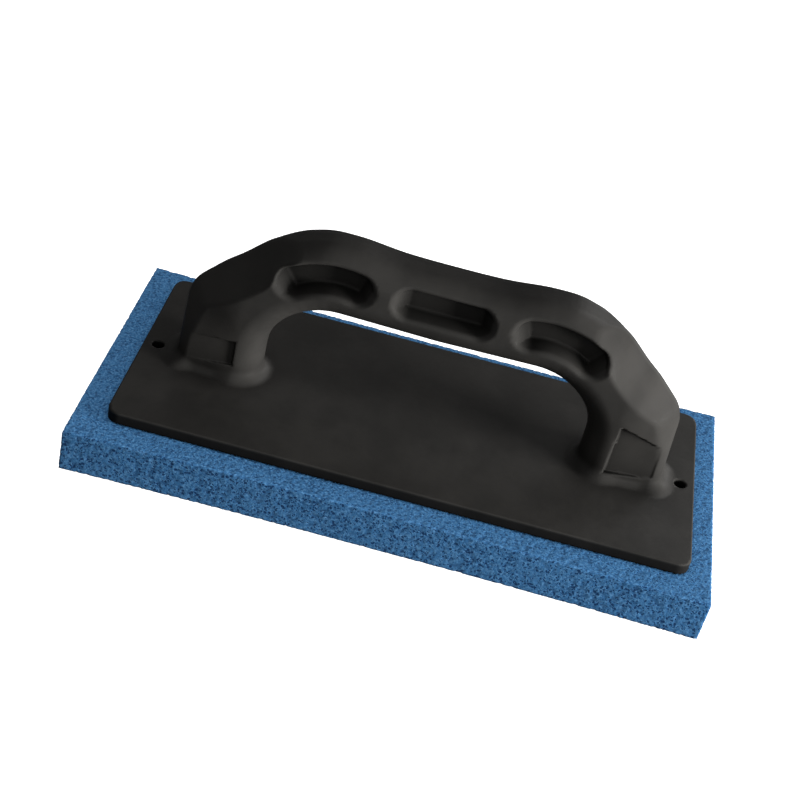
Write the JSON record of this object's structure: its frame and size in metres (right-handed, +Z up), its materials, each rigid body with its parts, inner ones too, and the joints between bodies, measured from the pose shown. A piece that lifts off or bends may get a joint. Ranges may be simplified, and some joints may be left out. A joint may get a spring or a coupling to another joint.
{
  "type": "sponge float",
  "caption": "Rectangular foam float: a soft open-cell pad bonded under a stiff moulded plate with a closed bow handle and grip pockets.",
  "frame": {"origin": "centre of the foam pad's underside, the working face", "axes": "+X along the float's length, +Y across it, +Z up from the working face towards the handle"},
  "size_m": [0.28, 0.14, 0.1034],
  "materials": {
    "moulded_plastic": "satin black moulded plastic",
    "adhesive": "dark dried contact adhesive",
    "foam": "blue open-cell foam, matt, fine pores"
  },
  "bodies": {
    "root": {"foam_pad": "foam", "bond_film": "adhesive", "plate_and_handle": "moulded_plastic"}
  },
  "joints": []
}
